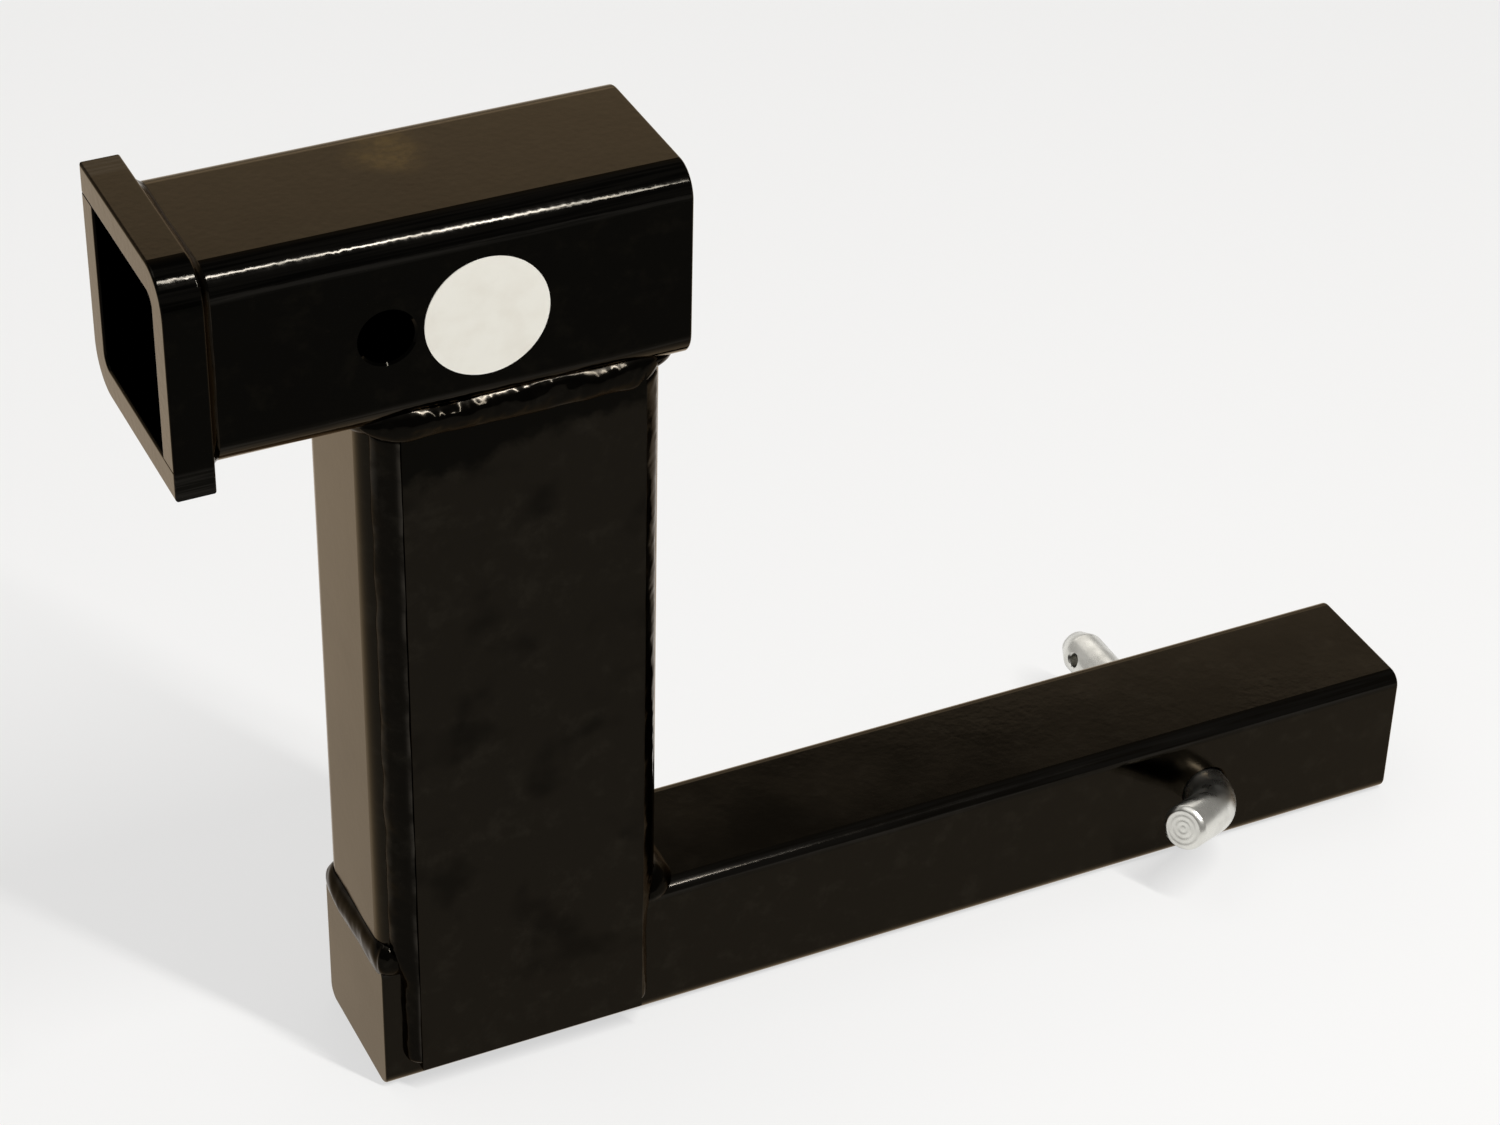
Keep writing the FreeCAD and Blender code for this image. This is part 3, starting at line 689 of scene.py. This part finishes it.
def swept_pin():
    """The pin as one smooth sweep, with the clip hole cut through its tip."""
    pin = turned_mesh("smooth_pin", pin_rings(), PIN_SIDES)
    cutter = turned_mesh("clip_hole", clip_hole_rings(), HOLE_SIDES)
    step = pin.modifiers.new("clip_hole", "BOOLEAN")
    step.operation = "DIFFERENCE"
    step.solver = "EXACT"
    step.object = cutter
    bpy.context.view_layer.update()
    drilled = bpy.data.meshes.new_from_object(pin.evaluated_get(bpy.context.evaluated_depsgraph_get()))
    pin.modifiers.clear()
    bpy.data.objects.remove(cutter)
    pin.data = drilled
    drilled.transform(pin_place)
    drilled.polygons.foreach_set("use_smooth", [True] * len(drilled.polygons))
    drilled.set_sharp_from_angle(angle=SHARP_ANGLE)
    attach(pin, "pin")
    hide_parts("hitch_pin")
    return dress(pin, zinc_plate())


# Finishes of the imported pieces. The plates' painted dark reflection under the weld ends along a line with
# this slope and level.
SMUDGE_PLACE = (18 * MM, 12 * MM, tube_high.z)
WELD_REFLECTION_EDGE = (0.17, tube_low.z - 21 * MM)
coat = powder_coat("powder_coat", COAT_BLACK, COAT_DUST, COAT_PEEL, COAT_WAVE)
plate_coat = powder_coat("plate_coat", COAT_BLACK, COAT_DUST, COAT_PEEL, COAT_WAVE, weld_reflection_and_patches=WELD_REFLECTION_EDGE)
# The receiver and the collar take the darker copy of the coat as painted shade
receiver_coat = powder_coat("receiver_coat", DEEP_BLACK, DEEP_DUST, DEEP_PEEL, COAT_WAVE, matt=DEEP_MATT,
                            corners=(tube_high.z - RECEIVER_CORNER, 0.0, PAINTED_CORNER_SHEEN),
                            smudge_at=SMUDGE_PLACE)
collar_coat = powder_coat("collar_coat", DEEP_BLACK, DEEP_DUST, DEEP_PEEL, COAT_WAVE, matt=DEEP_MATT,
                          corners=(collar_high.z - RECEIVER_CORNER, 0.0, PAINTED_CORNER_SHEEN))
# The shank's long corners carry the painted highlight too
shank_coat = powder_coat("shank_coat", COAT_BLACK, COAT_DUST, COAT_PEEL, COAT_WAVE,
                         corners=(shank_high.y - SHANK_CORNER, shank_middle, PAINTED_SHANK_SHEEN))
# The beads take a darker copy of the coat and a dimmer grazing tint, both painted shade
weld_coat = powder_coat("weld_coat", WELD_BLACK, WELD_DUST, WELD_PEEL, WELD_WAVE, edge=DIM_WELD_REFLECTION_TINT, toes=True)
dress(nodes["post_tube"], coat)
dress(nodes["shank_bar"], shank_coat)
for name in ("side_plate_near", "side_plate_far"):
    dress(nodes[name], plate_coat)
for name in ("collar_upper_bar", "collar_lower_bar"):
    dress(nodes[name], collar_coat)
dress(nodes["receiver_tube"], receiver_coat)
swept_pin()
dress(nodes["round_label"], blank_vinyl())

for side, end in EDGE_SEEDS:
    plate_edge_bead(side, end)
post_top_bead("near", seed=103)
post_top_bead("far", seed=127)
post_end_bead("front", leg=5.0 * MM, seed=151)
post_end_bead("rear", leg=4.4 * MM, seed=173)
foot_front_bead(seed=197)
foot_rear_bead(seed=211)
collar_bead(seed=229)


# Stage: a pale floor and a low pale wall behind it, in metres, with the size of their patches and the share
# by which they are seen nearer to white
FLOOR_HALF = 6.0
WALL_DISTANCE = 3.5
WALL_TOP = 2.45
FLOOR_GRAIN = 0.4
WALL_GRAIN = 0.6
FLOOR_WHITE = 0.62
WALL_WHITE = 0.40


def stage_sheet(name, corners, material):
    """One flat sheet of the stage."""
    piece = make_mesh(name, corners, [(0, 1, 2, 3)])
    return dress(piece, material)


ground = shank_low.z
stage_sheet("floor", [(-FLOOR_HALF, -FLOOR_HALF, ground), (FLOOR_HALF, -FLOOR_HALF, ground),
                      (FLOOR_HALF, FLOOR_HALF, ground), (-FLOOR_HALF, FLOOR_HALF, ground)],
            pale_surface("pale_floor", FLOOR_PALE, FLOOR_GRAIN, FLOOR_WHITE))
stage_sheet("backdrop", [(-FLOOR_HALF, WALL_DISTANCE, ground), (FLOOR_HALF, WALL_DISTANCE, ground),
                         (FLOOR_HALF, WALL_DISTANCE, WALL_TOP), (-FLOOR_HALF, WALL_DISTANCE, WALL_TOP)],
            pale_surface("pale_wall", WALL_PALE, WALL_GRAIN, WALL_WHITE))


def soft_light(name, place, aim, width, height, power, colour):
    """A rectangular lamp that the camera does not see. Sizes are in metres and power is in watts."""
    light = bpy.data.lights.new(name, "AREA")
    light.shape = "RECTANGLE"
    light.size = width
    light.size_y = height
    light.energy = power
    light.color = colour
    lamp = bpy.data.objects.new(name, light)
    lamp.location = place
    lamp.rotation_euler = (Vector(aim) - Vector(place)).to_track_quat("-Z", "Y").to_euler()
    lamp.visible_camera = False
    bpy.context.scene.collection.objects.link(lamp)
    return lamp


WHITE = (1.0, 1.0, 1.0)
WARM = (1.0, 0.97, 0.93)
WORLD_STRENGTH = 0.30
soft_light("key", (0.45, -0.75, 1.27), (0, 0, 0), 0.06, 0.90, 22, WHITE)
soft_light("overhead", (-0.6, 0.6, 2.2), (-0.1, 0.1, -0.28), 1.6, 1.6, 8, WHITE)
soft_light("back_panel", (1.05, 2.85, 1.45), (0, 0, 0), 3.2, 1.0, 9, WARM)

world = bpy.data.worlds.new("studio")
world.use_nodes = True
background = world.node_tree.nodes["Background"]
background.inputs["Color"].default_value = WORLD_PALE
background.inputs["Strength"].default_value = WORLD_STRENGTH
bpy.context.scene.world = world


def photo_camera():
    """The camera at the photograph's place, turned by its azimuth, elevation and roll."""
    level = math.cos(CAMERA_ELEVATION)
    sine, cosine = math.sin(CAMERA_AZIMUTH), math.cos(CAMERA_AZIMUTH)
    back = Vector((sine * level, -cosine * level, math.sin(CAMERA_ELEVATION)))
    right = Vector((cosine, sine, 0))
    up = back.cross(right)
    rolled_right = right * math.cos(CAMERA_ROLL) + up * math.sin(CAMERA_ROLL)
    rolled_up = back.cross(rolled_right)
    data = bpy.data.cameras.new("photo_camera")
    data.lens = CAMERA_LENS
    data.sensor_width = SENSOR_WIDTH
    camera = bpy.data.objects.new("photo_camera", data)
    turn = Matrix((rolled_right, rolled_up, back)).transposed()
    camera.matrix_world = Matrix.Translation(CAMERA_PLACE) @ turn.to_4x4()
    bpy.context.scene.collection.objects.link(camera)
    bpy.context.scene.camera = camera


photo_camera()
bpy.context.scene.view_settings.view_transform = "Standard"

bpy.context.view_layer.update()
